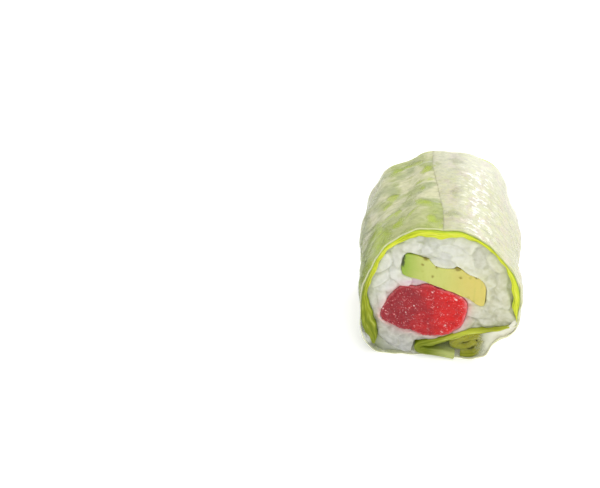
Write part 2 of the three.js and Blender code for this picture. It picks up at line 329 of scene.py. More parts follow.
def read(items, key, kind=float):
    """What every item of a mesh says under a key, three numbers to a row."""
    numbers = np.zeros(len(items) * 3, kind)
    items.foreach_get(key, numbers)
    return numbers.reshape(-1, 3)


def at_y(plan, y):
    """The corners that lie over points of the X-Z plane, at one y or one for each."""
    return np.stack([plan[..., 0], np.broadcast_to(y, plan.shape[:-1]), plan[..., 1]], -1)


def add_piece(name, corners, faces, materials, nodes=(), face_materials=None, values=()):
    """A piece of the roll from corners in millimetres. values are named numbers, one for each corner,
    that its material reads."""
    mesh = new_mesh(name, corners.reshape(-1, 3) * MM, faces)
    if signed_volume(mesh) < 0:
        mesh.flip_normals()
    mesh.polygons.foreach_set("use_smooth", [True] * len(mesh.polygons))
    if face_materials is not None:
        mesh.polygons.foreach_set("material_index", [int(k) for k in face_materials])
    for key, numbers in dict(values).items():
        layer = mesh.attributes.new(key, "FLOAT", "POINT")
        layer.data.foreach_set("value", np.asarray(numbers, np.float32).ravel())
    for material in materials:
        mesh.materials.append(material)
    mesh.update()
    piece = new_object(name, mesh)
    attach(piece, "root")
    if nodes:
        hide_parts(*nodes)
    return piece


def signed_volume(mesh):
    places = read(mesh.vertices, "co")
    mesh.calc_loop_triangles()
    a, b, c = (places[ends] for ends in read(mesh.loop_triangles, "vertices", int).T)
    return (a * np.cross(b, c)).sum()


def corner_normals(points, faces):
    mesh = new_mesh("scratch", points, faces)
    sign = 1 if signed_volume(mesh) > 0 else -1
    normals = sign * read(mesh.vertices, "normal")
    bpy.data.meshes.remove(mesh)
    return normals


def grid_faces(rows, columns, wrap):
    """The faces of a grid of corners, numbered row by row. wrap joins the last column to the first."""
    i = np.arange(rows - 1)[:, None] * columns
    j = np.arange(columns if wrap else columns - 1)[None, :]
    k = (j + 1) % columns
    faces = np.stack([i + j, i + k, i + columns + k, i + columns + j], -1)
    return faces.reshape(-1, 4)


def closed_tube_faces(rows, around):
    """The faces of a closed tube of corners, numbered loop by loop, the middles of its two ends last."""
    faces = grid_faces(rows, around, True).tolist()
    first = rows * around
    start = first - around
    faces += [[first, (k + 1) % around, k] for k in range(around)]
    faces += [[first + 1, start + k, start + (k + 1) % around] for k in range(around)]
    return faces


RIM_STEPS = 3


def sheet_points(line, thickness, front, back, across, along, rim, relief, slide=None):
    """The corners of a sheet with rounded edges: one closed loop of them at each step across. Each loop
    runs over the left face from front to back and returns over the right one. relief gives how far a
    corner moves to the left of the line, and slide moves it along the line. Also gives each corner's share
    of the line, and its side: 1 on the left face, -1 on the right one."""
    share = np.linspace(0, 1, across + 1)
    angle = angle_of(line.at(share))
    half = thickness(angle, share)[:, None] / 2
    y0 = front(angle, share)[:, None]
    y1 = back(angle, share)[:, None]
    bend = (np.arange(RIM_STEPS) + 0.5) / RIM_STEPS * np.pi / 2
    reach = np.minimum(half, rim)
    y = np.concatenate([
        y0 + reach * (1 - np.cos(bend)),
        y0 + reach + (y1 - y0 - 2 * reach) * np.linspace(0, 1, along + 1),
        y1 - reach * (1 - np.cos(bend[::-1])),
    ], 1)
    side = np.concatenate([np.sin(bend), np.ones(along + 1), np.sin(bend[::-1])])
    y = np.concatenate([y, y[:, ::-1]], 1)
    side = np.broadcast_to(np.concatenate([side, -side[::-1]]), y.shape)
    shares = np.broadcast_to(share[:, None], y.shape)
    if slide is not None:
        shares = slide(shares, y)
    place = line.aside(shares, half * side + relief(shares, y, side))
    return settle(at_y(place, y)), shares, side


def sheet_faces(across, loop):
    """The faces of such a sheet, its two ends closed by strips between the left face and the right one."""
    faces = [grid_faces(across + 1, loop, True)]
    pair = np.arange(loop // 2 - 1)
    other = loop - 1 - pair
    for start, way in ((0, 1), (across * loop, -1)):
        strip = np.stack([pair, pair + 1, other - 1, other], -1) + start
        faces.append(strip[:, ::-way])
    return np.concatenate(faces)


# ---- materials

class Nodes:
    """Short calls for a material's nodes."""

    def __init__(self, name):
        self.material = bpy.data.materials.new(name)
        self.material.use_nodes = True
        self.tree = self.material.node_tree
        self.shader = self.tree.nodes["Principled BSDF"]

    def put(self, socket, value):
        if isinstance(value, bpy.types.NodeSocket):
            self.tree.links.new(value, socket)
        else:
            socket.default_value = value

    def put_all(self, node, inputs):
        for key, value in inputs.items():
            self.put(node.inputs[key.replace("_", " ")], value)

    def add(self, kind, settings=(), **inputs):
        node = self.tree.nodes.new("ShaderNode" + kind)
        for key, value in dict(settings).items():
            setattr(node, key, value)
        self.put_all(node, inputs)
        return node

    def set(self, **inputs):
        self.put_all(self.shader, inputs)

    def value(self, name):
        return self.add("Attribute", {"attribute_name": name}).outputs["Fac"]

    def place(self):
        """The place in millimetres."""
        return self.stretched(self.add("TexCoord").outputs["Object"], MM, MM, MM)

    def stretched(self, where, x, y, z=1, turned=0):
        """A place divided by a size each way. turned first turns it about Y, in radians."""
        if turned:
            where = self.add("Mapping", Vector=where, Rotation=(0, turned, 0)).outputs["Vector"]
        return self.add("Mapping", Vector=where, Scale=(1 / x, 1 / y, 1 / z)).outputs["Vector"]

    def sized(self, where, scale):
        """The inputs of a texture with a scale, or with features of the sizes in a tuple."""
        if isinstance(scale, tuple):
            return {"Vector": self.stretched(where, *scale), "Scale": 1}
        return {"Vector": where, "Scale": scale}

    def noise(self, where, scale, detail=2, roughness=0.5, distortion=0):
        node = self.add("TexNoise", Detail=detail, Roughness=roughness, Distortion=distortion,
                        **self.sized(where, scale))
        return node.outputs["Fac"]

    def cells(self, where, scale):
        return self.add("TexVoronoi", **self.sized(where, scale)).outputs["Distance"]

    def join(self, x, y):
        return self.add("CombineXYZ", X=x, Y=y).outputs[0]

    def split(self, where):
        return self.add("SeparateXYZ", Vector=where).outputs[:]

    def math(self, operation, a, b, clamp=False):
        node = self.add("Math", {"operation": operation, "use_clamp": clamp})
        for socket, value in zip(node.inputs, (a, b)):
            self.put(socket, value)
        return node.outputs[0]

    def plus(self, a, b):
        return self.math("ADD", a, b)

    def times(self, a, b):
        return self.math("MULTIPLY", a, b)

    def ramp(self, value, low, high, to_low=0, to_high=1):
        """A smooth step of a value, from to_low where it is low to to_high where it is high."""
        node = self.add("MapRange", {"interpolation_type": "SMOOTHSTEP"}, Value=value, From_Min=low,
                        From_Max=high, To_Min=to_low, To_Max=to_high)
        return node.outputs[0]

    def mix(self, share, first, second):
        """first, giving way to second as share rises. Each may be a colour in six hexadecimal digits."""
        node = self.add("Mix", {"data_type": "RGBA"})
        sockets = [s for s in node.inputs if s.enabled]
        for socket, value in zip(sockets, (share, first, second)):
            self.put(socket, colour(value) if isinstance(value, str) else value)
        return [s for s in node.outputs if s.enabled][0]

    def layers(self, base, *layers):
        """A colour with others laid over it, each of them a share and a colour."""
        for share, tint in layers:
            base = self.mix(share, base, tint)
        return base

    def bump(self, height, strength, depth_mm):
        return self.add("Bump", Height=height, Strength=strength, Distance=depth_mm * MM).outputs["Normal"]


def colour(hexa):
    """A colour written as six hexadecimal digits, in linear numbers."""
    parts = [int(hexa[k:k + 2], 16) / 255 for k in (0, 2, 4)]
    return tuple(((p + 0.055) / 1.055) ** 2.4 if p > 0.04045 else p / 12.92 for p in parts) + (1,)


def paper_film(n, where, mottle, double):
    """How much the paper hides: more where it lies double, less in clear spots and patches."""
    spots = n.ramp(n.noise(where, (4.6, 4.2), 1, 0.4, 0.2), 0.5, 0.7)
    spots = n.times(spots, n.ramp(double, 0.2, 0.9, 1, 0.15))
    film = n.plus(n.ramp(mottle, 0.3, 0.7, 0.42, 0.6), n.times(double, 0.18))
    film = n.times(film, n.math("SUBTRACT", 1, n.times(spots, 0.72)))
    patchy = n.times(n.noise(where, (5, 3.5), 3, 0.6, 0.5), 2)
    clear = n.ramp(n.plus(n.value("clear"), patchy), 1.25, 2)
    return n.times(film, n.math("SUBTRACT", 1, n.times(clear, 0.9)))


def painted_paper_glints(n, where):
    """Painted glints: whitish streaks just right of the paper's outer end, where the wet film's highlights
    fall.
    """
    broad = n.ramp(n.noise(where, (2.2, 1.5), 1), 0.5, 0.6)
    fine = n.ramp(n.noise(where, (1.3, 0.4), 2, 0.6), 0.4, 0.58)
    return n.times(n.times(broad, fine), n.value("painted_glint_window"))


def paper_single_tint(n, where, along):
    """Creamy, with khaki and grey patches and pale lines of painted highlight along wrinkle folds, greener
    by the front cut, and a darker green by its heel, which is painted shade.
    """
    khaki = n.ramp(n.noise(where, (7, 5), 2, 0.5, 0.3), 0.42, 0.62)
    grey = n.ramp(n.noise(where, (5, 4), 1.5, 0.4), 0.5, 0.68)
    # painted highlights: pale lines along the wrinkle folds
    wrinkle_highlights = n.ramp(n.noise(where, (8, 0.6), 1, 0.5, 0.4), 0.58, 0.68, 0, 0.5)
    by_front = n.ramp(along, -4, -13, 0, 0.5)
    # painted shade: a darker grey-green on the film by the heel, where it lies in shadow
    heel = n.times(n.value("heel"), 0.85)
    return n.layers("f6f2d2", (khaki, "d0d69e"), (grey, "ccd1aa"), (wrinkle_highlights, "fbf9ea"),
                    (by_front, "b2be60"), (heel, "98a06e"))


def paper_double_tint(n, where, along, mottle, specks):
    """Cloudy white, rosy in patches, with the leaf's green in its thin spots, paler towards the back."""
    rosy = n.ramp(n.noise(where, (4, 5), 1.5), 0.45, 0.65)
    green = n.ramp(mottle, 0.5, 0.62, 0, 0.5)
    fine_green = n.ramp(specks, 0.48, 0.62, 0, 0.35)
    by_back = n.ramp(along, 4, 16, 0, 0.4)
    return n.layers("f2f2d6", (rosy, "f5ecdb"), (green, "dadd9c"), (fine_green, "d3d78c"),
                    (by_back, "fbfaf2"))


def paper_material():
    """Wet rice paper: a film that is clear in spots, most of all round the front's left, and cloudier
    where it lies double. A darker line marks its outer end."""
    n = Nodes("rice_paper")
    along, double = n.value("along"), n.value("double")
    where = n.join(n.value("round"), along)
    mottle = n.noise(where, (1.7, 1.1), 3, 0.6)
    specks = n.noise(where, (0.55, 0.4), 2, 0.6)
    # painted highlights: whitish glint streaks laid into the paper's colour and opacity
    painted_glints = painted_paper_glints(n, where)
    single_tint = paper_single_tint(n, where, along)
    double_tint = n.mix(painted_glints, paper_double_tint(n, where, along, mottle, specks), "fcfcf8")
    tint = n.mix(n.ramp(double, 0, 0.5), single_tint, double_tint)
    seam = n.times(n.ramp(n.value("seam"), 0.05, 0.3, 0.45, 0), n.ramp(specks, 0.45, 0.62))
    seam = n.times(seam, n.ramp(along, -8, 2, 0.15, 1))
    alpha = n.math("ADD", paper_film(n, where, mottle, double), n.times(painted_glints, 0.4), clamp=True)
    n.set(Base_Color=n.mix(seam, tint, "a8a263"), Alpha=alpha, Roughness=0.13, IOR=1.34)
    streaks = n.noise(where, (1.4, 0.45), 3, 0.6, 0.3)
    dents = n.noise(where, (3, 1.9), 2, 0.5, 0.3)
    height = n.plus(n.times(streaks, 1.2), dents)
    height = n.times(height, n.ramp(double, 0, 0.5, 0.45, 1))
    n.set(Normal=n.bump(height, 0.8, 0.5))
    return n.material


def flap_material(name, left_tint, tint, change, clear_to, cloudiest):
    """A crumpled end of the rice paper: clear up to a place along X, and cloudy past it. Its colour changes
    over the 6 mm to the right of another place."""
    n = Nodes(name)
    where = n.place()
    x = n.split(where)[0]
    crumple = n.math("SUBTRACT", n.noise(where, 0.3), 0.5)
    cloud = n.plus(x, n.times(crumple, 6))
    n.set(Base_Color=n.mix(n.ramp(x, change, change + 6), left_tint, tint))
    n.set(Alpha=n.ramp(cloud, clear_to, clear_to + 3.5, 0.04, cloudiest), Roughness=0.22, IOR=1.36)
    n.set(Normal=n.bump(n.noise(where, 0.9, 3, 0.6), 0.5, 0.3))
    return n.material


def paper_edge_material():
    n = Nodes("rice_paper_edge")
    n.set(Base_Color=colour("ecedbf"), Roughness=0.35, IOR=1.34, Alpha=0.6)
    return n.material


def lettuce_material(name, face, bright, deep, pale, deep_and_shaded_below):
    """A thin leaf: its faces nearly of one green, its cut edge streaked with three. It is a darker green at
    the
    left, and below a height in millimetres: partly the leaf's own tone and partly painted shade."""
    n = Nodes(name)
    round_roll, on_edge = n.value("round"), n.value("edge")
    where = n.join(round_roll, n.value("along"))
    blotches = n.noise(where, (3.6, 2.4), 3, 0.55, 0.4)
    ribs = n.noise(where, (6, 0.9), 2, 0.6)
    edge = n.noise(n.join(round_roll, n.value("side")), (6, 0.42), 3, 0.6, 0.3)
    blotched = n.mix(n.ramp(blotches, 0.4, 0.62, 0, 0.5), face, deep)
    faces = n.mix(n.ramp(ribs, 0.55, 0.75, 0, 0.4), blotched, pale)
    streaks = n.layers(deep, (n.ramp(edge, 0.36, 0.5), bright), (n.ramp(edge, 0.54, 0.7), pale))
    x, _, z = n.split(n.place())
    # low: a darker green low down and at the far left, partly the leaf's own tone and partly painted shade
    low = n.ramp(n.plus(z, n.times(x, 0.35)), 0.15 * deep_and_shaded_below, deep_and_shaded_below, 0.95, 0)
    low = n.math("MAXIMUM", low, n.ramp(x, -15.5, -19.5, 0, 0.9))
    low = n.times(low, n.ramp(edge, 0.4, 0.75, 1, 0.6))
    tint = n.layers(n.mix(on_edge, faces, streaks), (low, "606f00"), (n.value("fade"), "c3cb86"))
    n.set(Base_Color=tint, Roughness=0.36, IOR=1.27)
    n.set(Subsurface_Weight=0.3, Subsurface_Radius=(1, 1, 0.2), Subsurface_Scale=0.5 * MM)
    n.set(Normal=n.bump(n.mix(on_edge, n.plus(ribs, blotches), edge), 0.45, 0.35))
    return n.material


def rice_material():
    """Cooked rice: the colour that each corner says, a little clouded with white."""
    n = Nodes("rice")
    tint = n.add("Attribute", {"attribute_name": "tint"}).outputs["Color"]
    cloud = n.noise(n.place(), 0.8)
    n.set(Base_Color=n.mix(n.ramp(cloud, 0.3, 0.7, 0, 0.25), tint, "f4f5f0"), Roughness=0.3, IOR=1.4)
    n.set(Subsurface_Weight=0.9, Subsurface_Radius=(1, 0.95, 0.8), Subsurface_Scale=1.6 * MM)
    n.set(Normal=n.bump(n.noise(n.place(), 1.6), 0.3, 0.15))
    return n.material


def tuna_material():
    """Raw fish: duller to the left and brighter to the right, with pale veins, a paler rim, softer at the
    right,
    and painted highlights: pale specks and grains for its wet, granular flesh, and a few wet glints."""
    n = Nodes("tuna")
    where = n.place()
    x = n.split(where)[0]
    from_edge = n.value("from_edge")
    patches = n.times(n.noise(where, 0.28, 3, 0.6, 0.4), 18)
    bright = n.ramp(n.plus(x, patches), -1, 15)
    deep = n.ramp(n.noise(where, 0.5, 3, 0.6, 0.5), 0.5, 0.7, 0, 0.35)
    veil = n.ramp(n.noise(where, 0.75, 3, 0.65, 0.6), 0.52, 0.78, 0, 0.2)
    veins = n.ramp(n.noise(where, (1.6, 1, 0.45, -0.8), 2, 0.5, 0.5), 0.66, 0.74, 0, 0.7)
    uneven = n.times(n.noise(where, 1.1), 0.3)
    # painted highlights: these pale specks, and the grains below, stand for the sparkle of wet granular
    # flesh
    specks = n.ramp(n.plus(n.cells(where, 2.1), uneven), 0.26, 0.38, 1, 0)
    specks = n.times(specks, n.ramp(n.noise(where, 0.5, 3), 0.4, 0.6, 0.12, 0.85))
    grains = n.ramp(n.cells(where, 0.8), 0.1, 0.24, 0.5, 0)
    ragged = n.times(n.noise(where, 0.8), 1.2)
    rim = n.ramp(n.plus(from_edge, ragged), 0.2, 1.3, 0.6, 0)
    blurred = n.times(n.noise(where, 0.55, 3, 0.6), 3)
    soft = n.ramp(n.plus(from_edge, blurred), 1, 2.9, 0.5, 0)
    soft = n.times(soft, n.ramp(x, 0, 6))
    # painted highlights: a few wet glints laid into the colour
    glints = n.ramp(n.cells(where, (3, 1, 1.7, -0.7)), 0.1, 0.2, 0.9, 0)
    glints = n.times(glints, n.ramp(n.noise(where, 0.33, 1), 0.5, 0.58))
    tint = n.layers("942029", (bright, "d21a18"), (deep, "8e1620"), (veil, "d04a50"), (veins, "e58a8c"),
                    (specks, "f4bcb8"), (grains, "ee9c9c"), (rim, "dd7a7e"), (soft, "e88f92"),
                    (glints, "f8dcd8"))
    n.set(Base_Color=tint, Roughness=0.18, IOR=1.34)
    n.set(Subsurface_Weight=0.4, Subsurface_Radius=(1, 0.2, 0.2), Subsurface_Scale=0.8 * MM)
    n.set(Normal=n.bump(n.noise(where, 2.4, 3, 0.7), 0.8, 0.35))
    return n.material


AVOCADO_BRUISES = [  # across, height, radius
    (-3.6, 31.6, 0.7), (4.4, 29.3, 1), (9.2, 26.6, 0.4), (-4.3, 29.6, 0.25), (5.2, 26.2, 0.3),
    (-1.7, 26.2, 0.3), (-0.9, 28.9, 0.3),
]


def avocado_material():
    """Avocado flesh: green at its left and yellower to its right, with ridges, dots, a scrap of dark skin
    at the upper left, and bruises."""
    n = Nodes("avocado")
    where = n.place()
    x, _, z = n.split(where)
    drift = n.plus(x, n.times(n.noise(where, 0.3), 3))
    ridges = n.noise(where, (1.2, 3, 4.5), 2, 0.6, 0.3)
    ridged = n.ramp(ridges, 0.5, 0.75, 0, 0.3)
    dots = n.ramp(n.cells(where, (2.9, 2.9, 2.9)), 0.08, 0.22, 0.4, 0)
    wander = n.times(n.noise(where, 0.9), 1.6)
    skin = n.ramp(n.plus(x, wander), -8.4, -7.7, 1, 0)
    skin = n.times(skin, n.ramp(n.plus(z, wander), 28.9, 29.9))
    tint = n.layers("8ba928", (n.ramp(drift, -8.5, -1), "bdc268"), (n.ramp(drift, 0, 11), "cbbd60"),
                    (ridged, "a9b04a"), (dots, "94922c"), (skin, "39460c"))
    plane = n.join(x, z)
    ragged = n.times(n.noise(where, 1), 0.9)
    for across, high, size in AVOCADO_BRUISES:
        away = n.add("VectorMath", {"operation": "DISTANCE"}, Vector=plane)
        n.put(away.inputs[1], (across, high, 0))
        bruise = n.ramp(n.plus(away.outputs["Value"], ragged), size + 0.1, size + 0.8, 0.9, 0)
        tint = n.mix(bruise, tint, "7d700c")
    n.set(Base_Color=tint, Roughness=0.33, IOR=1.45)
    n.set(Subsurface_Weight=0.5, Subsurface_Radius=(1, 0.9, 0.4), Subsurface_Scale=1 * MM)
    n.set(Normal=n.bump(n.plus(ridges, n.noise(where, 1.3, 3)), 0.45, 0.25))
    return n.material


# ---- pieces

def paper_values(line, points, share):
    """What the paper's material reads, from each corner's share of the line."""
    start = np.linspace(0, 1, len(points))[:, None] * line.length + 0 * share  # past the slanting end
    angle = angle_of(line.at(share))
    from_cut = CUT_Y + points[..., 1]
    clear = hump(angle, 173, 33) * (smooth(25, 2, from_cut) + 1.2 * smooth(16, 5, from_cut))
    clear += 1.2 * hump(angle, 158, 22) * smooth(9, 4, from_cut)
    return {
        "round": share * line.length,
        "along": points[..., 1],
        "seam": start,
        "double": (0.32 + 0.68 * smooth(0, 14, start)) * smooth(85, 55, start),
        "clear": np.minimum(clear, 0.85),
        # where glints are painted: just right of the outer end, away from the back cut
        "painted_glint_window": 1.1 * hump(start, 12.5, 5) * smooth(17, 8, points[..., 1]),
        # heel: where shade is painted on the film, low at the front's left
        "heel": hump(angle, 222, 20) * smooth(10, 4, from_cut),
    }


def paper():
    across, along, rim = 440, 94, 0.07
    line = paper_line()
    crinkles = ripples(11, 1.3, 2.8, (2.6, 1), 60)
    degree = math.radians(1) * ROLL_RADIUS / line.length  # the share of the line in one degree of turning

    def front(angle, share):
        ragged = 0.12 * np.sin(line.length * share * 1.3) + 0.1 * np.sin(line.length * share * 0.47)
        return -CUT_Y - 0.3 * np.sin(np.radians(3 * angle)) + 1.5 * hump(angle, 268, 34) + ragged

    def back(angle, share):
        ragged = 0.12 * np.sin(line.length * share * 1.1 + 2)
        return CUT_Y + 0.3 * np.sin(np.radians(3 * angle + 120)) - 0.7 * hump(angle, 280, 38) + ragged

    def late(y):
        """How much later the outer end starts: it runs slantwise."""
        return degree * ((SEAM_BACK - SEAM_FRONT) * smooth(CUT_Y, -CUT_Y, y) + 0.25 * np.sin(y / 2.1))

    def slide(share, y):
        return share + late(y) * (1 - smooth(0, 40 * degree, share))

    def relief(share, y, side):
        """Crinkles, a bead at each cut edge, and the outer end pressed down on the turn below it."""
        place = share * line.length
        height = 0.03 * smooth(0.79, 0.74, share) + 0.03 * smooth(75, 55, place)
        bead = 0.08 * np.exp(-np.abs(CUT_Y - 0.3 - np.abs(y)) / 0.5)
        pressed = 0.09 * smooth(1.8, 0, (share - late(y)) * line.length)
        return height * crinkles(place, y) + bead * side - pressed

    def thickness(angle, share):
        """Thinned out over the last 1.2 mm to its outer end."""
        return PAPER * (0.3 + 0.7 * smooth(0, 70 * degree / ROLL_RADIUS, share))

    points, share, _ = sheet_points(line, thickness, front, back, across, along, rim, relief, slide)
    loop = points.shape[1]
    faces = sheet_faces(across, loop)
    half = np.arange(loop // 2)
    on_cut_edge = np.zeros(len(faces), int)
    on_cut_edge[:across * loop] = np.tile(np.minimum(half, half[::-1]) <= RIM_STEPS, 2 * across)
    add_piece("paper", points, faces, [paper_material(), paper_edge_material()],
              ["rice_paper"], on_cut_edge, paper_values(line, points, share))


def leaf(name, node, line, thickness, front, back, across, along, material, seed, fade_from=1):
    """One leaf. Its right face, the outer one of the leaf round the roll, stays on the solid's, clear of
    the paper, and the left one is uneven. It is paler from a share of its line on."""
    ruffle = ripples(seed, 3.5, 8, (1, 1.3))
    streak = ripples(seed + 1, 0.5, 1, (6, 1))
    uneven = ripples(seed + 2, 3, 6, (1,))

    def relief(share, y, side):
        place = share * line.length
        edge = np.exp(-(y + CUT_Y + 0.8) / 2.5) + np.exp((y - CUT_Y - 0.8) / 2.5)
        waves = 0.06 * ruffle(place, y) * (0.5 + np.minimum(edge, 1)) + 0.04 * streak(place, y)
        return (waves + 0.09 * uneven(place)) * (1 + side) / 2

    points, share, side = sheet_points(line, thickness, front, back, across, along, 0.45, relief)
    place = share * line.length
    rim = 1 - np.abs(side)
    grooves = 0.1 * np.sin(side * 8 + 0.8 * np.sin(place * 0.9) + 0.5 * np.sin(place * 0.35))
    points[..., 1] += grooves * np.sqrt(rim) * np.sign(-points[..., 1])
    values = {"round": place, "along": points[..., 1], "side": side, "edge": smooth(0, 0.15, rim),
              "fade": 0.6 * smooth(fade_from, fade_from + 0.2, share)}
    faces = sheet_faces(across, points.shape[1])
    add_piece(name, points, faces, [material], [node], values=values)


def outer_leaf(material):
    def front(angle, share):
        waves = 0.3 * np.sin(np.radians(5 * angle + 30))
        return -CUT_Y - 0.6 - waves - 0.4 * hump(angle, 200, 40) + 0.7 * hump(angle, 226, 12)

    def back(angle, share):
        waves = 0.35 * np.sin(np.radians(5 * angle + 200))
        return CUT_Y + 1 + waves + 0.3 * hump(angle, 60, 30)

    leaf("lettuce_outer_leaf", "lettuce_outer", outer_leaf_line(),
         lambda angle, share: outer_leaf_thickness(angle), front, back, 300, 60, material, 21)


def under_leaf(material):
    leaf("lettuce_under_leaf", "lettuce_under", Line(UNDER_LEAF),
         lambda angle, share: under_leaf_thickness(share),
         lambda angle, share: -CUT_Y - 0.3 - 0.5 * np.sin(7 * share),
         lambda angle, share: CUT_Y + 0.3 + 0.5 * np.sin(6 * share + 1),
         160, 60, material, 31, 0.78)


def pocket_leaf(material):
    leaf("lettuce_pocket_leaf", "lettuce_pocket", Line(POCKET_LEAF),
         lambda angle, share: 2.1 + 0.4 * np.sin(11 * share + 1),
         lambda angle, share: -CUT_Y + 0.7 + 0.2 * np.sin(9 * share),
         lambda angle, share: CUT_Y - 0.4 - 0.5 * np.sin(8 * share),
         150, 50, material, 41)


def flap(name, side, seed, top, angles, set_back, material):
    """A film across a hollow behind the cut, from the outline between two angles up to a curve: an end of
    the paper, crumpled over it."""
    columns, rows = 70, 36
    folds = ripples(seed, 2.5, 6, (1, 1))
    x, high = Line(top).at(np.linspace(0, 1, columns)).T
    floor_x, floor_z = outline_point(np.linspace(*angles, 200)).T
    low = np.interp(x, floor_x, floor_z) + 0.25
    up = np.linspace(0, 1, rows)[:, None]
    z = low + np.maximum(high - low, 0.05) * up
    plan = np.stack([x + 0 * z, z], -1)
    depth = CUT_Y - set_back + 0.12 * folds(x, z) - 0.9 * (1 - up) ** 2
    corners = [at_y(plan, side * y).reshape(-1, 3) for y in (depth, depth - FLAP)]
    grid = np.arange(rows * columns).reshape(rows, columns)
    ring = np.concatenate([grid[0], grid[1:, -1], grid[-1, -2::-1], grid[-2:0:-1, 0]])
    turned = np.roll(ring, -1)
    rim = np.stack([ring, turned, turned + grid.size, ring + grid.size], -1)
    faces = grid_faces(rows, columns, False)
    faces = np.concatenate([faces[:, ::-1], faces + grid.size, rim])
    add_piece(name, settle(np.concatenate(corners)), faces, [material])


def flaps():
    pocket = flap_material("rice_paper_flap", "aeb48c", "f2f1df", 9.5, 9.8, 0.68)
    # the heel flap's green-grey left end is darker with painted shade
    heel = flap_material("rice_paper_heel", "8f9966", "c3c5ba", -17, -100, 0.6)
    for side, end in ((-1, "front"), (1, "back")):
        flap("paper_flap_" + end, side, 101 + (side > 0), FLAP_TOP, (270, 343), 0.3, pocket)
        flap("paper_heel_" + end, side, 103 + (side > 0), HEEL_FLAP_TOP, (215, 262), 1.1, heel)


def filling_loops(cut_y, rings, along):
    """The loops of a filling, from the middle of its front to that of its back: for each a scale, an inset
    and a place along Y."""
    front = [(k / rings, BEVEL, -cut_y) for k in range(1, rings)]
    for turn in np.linspace(0, np.pi / 2, 5):
        front.append((1, BEVEL * (1 - np.sin(turn)), -cut_y + BEVEL * (1 - np.cos(turn))))
    middle = [(1, 0, y) for y in np.linspace(-cut_y + BEVEL, cut_y - BEVEL, along + 1)[1:-1]]
    return front + middle + [(scale, inset, -y) for scale, inset, y in reversed(front)]


def filling(name, node, outline, cut_y, around, rings, along, relief, material):
    """A long filling: a closed outline with rounded cut edges, its faces in rings round their middle.
    relief gives how far a place stands out."""
    edge = filling_outline(outline, around)
    middle = edge.mean(0)
    distance = np.linalg.norm(edge - middle, axis=1, keepdims=True)
    loops = filling_loops(cut_y, rings, along)
    points = []
    from_edge = []
    for scale, inset, y in loops:
        points.append(at_y(middle + (edge - middle) * (1 - inset / distance) * scale, y))
        from_edge.append((1 - scale) * distance[:, 0] + inset)
    points.append([[middle[0], y, middle[1]] for y in (-cut_y, cut_y)])
    from_edge.append([9, 9])
    points = np.concatenate(points)
    faces = closed_tube_faces(len(loops), around)
    points = settle(points + corner_normals(points, faces) * relief(*points.T)[:, None])
    values = {"from_edge": np.concatenate(from_edge)}
    add_piece(name, points, faces, [material], [node], values=values)


def tuna():
    coarse = ripples(51, 2, 5, (1, 1, 1))
    grains = ripples(52, 0.55, 1, (1, 1, 1), 60)
    filling("tuna_strip", "tuna", TUNA, CUT_Y - 0.1, 330, 40, 60,
            lambda *place: 0.1 * coarse(*place) + 0.06 * grains(*place), tuna_material())


def avocado():
    coarse = ripples(61, 2.5, 6, (1, 1, 1))
    filling("avocado_slice", "avocado", AVOCADO, CUT_Y, 260, 24, 50,
            lambda *place: 0.07 * coarse(*place), avocado_material())


# ---- rice

GRAIN_LENGTH = 7.8
GRAIN_WIDTH = 4.5
GRAIN_THICKNESS = 2.9
UPPER_GRAINS = 30
LOWER_GRAINS = 50
NEAR_EDGE = 2.6  # nearer than this to an edge, a grain lies along it
VOXEL = 0.24
GROOVE_SHADE = np.array([0.05, 0.04, 0.12])  # painted shade: how much less red, green and blue a groove shows
SLAB_START = 0.6  # how deep the plate behind the grains of a cut begins ...
SLAB_DEPTH = 4.5  # ... and ends
CORE_END = 3  # how far inside the cuts the plain core ends
CORE_RINGS = 41


def inside(points, outline):
    """Which of the points of the X-Z plane lie in a closed outline."""
    a, b = outline, np.roll(outline, -1, 0)
    x, z = points[:, 0, None], points[:, 1, None]
    crosses = (a[:, 1] > z) != (b[:, 1] > z)
    with np.errstate(divide="ignore", invalid="ignore"):
        at = (b[:, 0] - a[:, 0]) * (z - a[:, 1]) / (b[:, 1] - a[:, 1]) + a[:, 0]
    return (crosses & (x < at)).sum(1) % 2 == 1


def distance_to(points, outline):
    """How far each point lies from a closed outline, the way that the outline runs there, and its place."""
    a, b = outline, np.roll(outline, -1, 0)
    along = b - a
    share = ((points[:, None] - a) * along).sum(-1) / (along ** 2).sum(-1)
    near = a + along * np.clip(share, 0, 1)[..., None]
    away = np.linalg.norm(points[:, None] - near, axis=-1)
    k = away.argmin(1)
    each = np.arange(len(points))
    return away[each, k], np.arctan2(along[k, 1], along[k, 0]), near[each, k]


def kept_inside(places, outline):
    """The same corners, those outside an outline moved onto it."""
    plan = places[:, [0, 2]]
    outside = ~inside(plan, outline)
    plan[outside] = distance_to(plan[outside], outline)[2]
    return at_y(plan, places[:, 1])


def grain_shape():
    """One cooked grain of unit size, along X: a blunt oval, slightly bent."""
    rings, around = 9, 12
    u = np.linspace(0, np.pi, rings + 1)[1:-1, None]
    v = np.arange(around) / around * 2 * np.pi
    x = -np.cos(u) * np.ones(around)
    girth = np.sin(u) ** 0.65
    y, z = girth * np.cos(v), girth * np.sin(v)
    z = z + 0.12 * (x ** 2 - 0.4)
    corners = np.stack([x, y, z], -1).reshape(-1, 3) / 2
    corners = np.concatenate([corners, [[-0.5, 0, 0.036], [0.5, 0, 0.036]]])
    return corners, closed_tube_faces(rings - 1, around)


